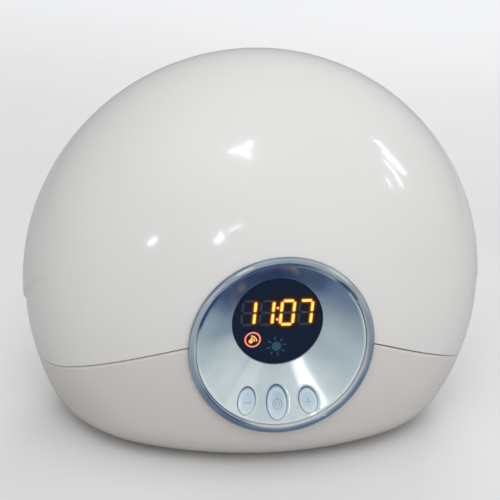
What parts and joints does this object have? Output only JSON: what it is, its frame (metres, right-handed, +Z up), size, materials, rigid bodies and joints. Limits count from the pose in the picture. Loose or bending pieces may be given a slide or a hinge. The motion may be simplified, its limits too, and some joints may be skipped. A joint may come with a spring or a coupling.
{
  "type": "sunrise alarm clock",
  "caption": "Domed bedside lamp and alarm clock with a tilted round control dish, a digital time display, oval keys under it, and a light chamber behind a milky shell.",
  "frame": {"origin": "on the ground under the middle of the body's bounding box", "axes": "+X to the right seen from the front, +Y from the front to the back, +Z up; the control dish faces -Y"},
  "size_m": [0.2, 0.1215, 0.16],
  "materials": {
    "diffuser": "gloss",
    "base": "gloss",
    "housing": "satin",
    "bezel": "clear",
    "panel": "metallic",
    "window": "gloss",
    "display": "matte",
    "lit_segment": "lit",
    "unlit_segment": "matte",
    "key": "gloss",
    "plunger": "matte",
    "switch": "matte",
    "board": "satin",
    "screw": "satin",
    "shroud": "matte",
    "reflector": "matte",
    "led_board": "satin",
    "led": "satin",
    "heat_sink": "satin",
    "capacitor": "gloss",
    "choke": "matte",
    "holder": "matte",
    "cell": "satin",
    "ribbon": "satin",
    "connector": "matte",
    "jack": "matte",
    "set_key": "satin",
    "basket": "satin",
    "magnet": "satin",
    "cone": "matte",
    "feet": "matte"
  },
  "bodies": {
    "lamp": {"diffuser_dome": "diffuser", "base_shell": "base", "rear_housing": "housing", "bezel_ring": "bezel", "control_panel": "panel", "display_window": "window", "display_module": "display", "lit_segments": "lit_segment", "unlit_segments": "unlit_segment", "tact_switches": "switch", "control_board": "board", "control_board_screws": "screw", "control_shroud": "shroud", "light_partition": "reflector", "partition_screws": "screw", "reflector_panel": "reflector", "reflector_screws": "screw", "led_board": "led_board", "led_chips": "led", "led_board_screws": "screw", "heat_sink": "heat_sink", "main_board": "board", "main_board_screws": "screw", "capacitors": "capacitor", "choke": "choke", "battery_holder": "holder", "coin_cell": "cell", "ribbon_cable": "ribbon", "ribbon_connectors": "connector", "rear_board": "board", "rear_board_screws": "screw", "power_jack": "jack", "rear_switches": "switch", "speaker_basket": "basket", "speaker_magnet": "magnet", "speaker_cone": "cone", "housing_screws": "screw", "rubber_feet": "feet"},
    "key_minus": {"button_minus": "key", "plunger_minus": "plunger"},
    "key_light": {"button_light": "key", "plunger_light": "plunger"},
    "key_plus": {"button_plus": "key", "plunger_plus": "plunger"},
    "key_set_clock": {"button_set_clock": "set_key", "plunger_set_clock": "plunger"},
    "key_set_alarm": {"button_set_alarm": "set_key", "plunger_set_alarm": "plunger"}
  },
  "joints": [
    {"name": "press_minus", "type": "slide", "parent": "lamp", "child": "key_minus", "axis": [0, 0.9973, -0.0732], "range_m": [0, 0.0006], "stiffness_N_per_m": 900, "springref_m": -0.0003},
    {"name": "press_light", "type": "slide", "parent": "lamp", "child": "key_light", "axis": [0, 0.9973, -0.0732], "range_m": [0, 0.0006], "stiffness_N_per_m": 900, "springref_m": -0.0003},
    {"name": "press_plus", "type": "slide", "parent": "lamp", "child": "key_plus", "axis": [0, 0.9973, -0.0732], "range_m": [0, 0.0006], "stiffness_N_per_m": 900, "springref_m": -0.0003},
    {"name": "press_set_clock", "type": "slide", "parent": "lamp", "child": "key_set_clock", "axis": [0, -0.9954, 0.0958], "range_m": [0, 0.0006], "stiffness_N_per_m": 900, "springref_m": -0.0003},
    {"name": "press_set_alarm", "type": "slide", "parent": "lamp", "child": "key_set_alarm", "axis": [0, -0.9954, 0.0958], "range_m": [0, 0.0006], "stiffness_N_per_m": 900, "springref_m": -0.0003}
  ]
}
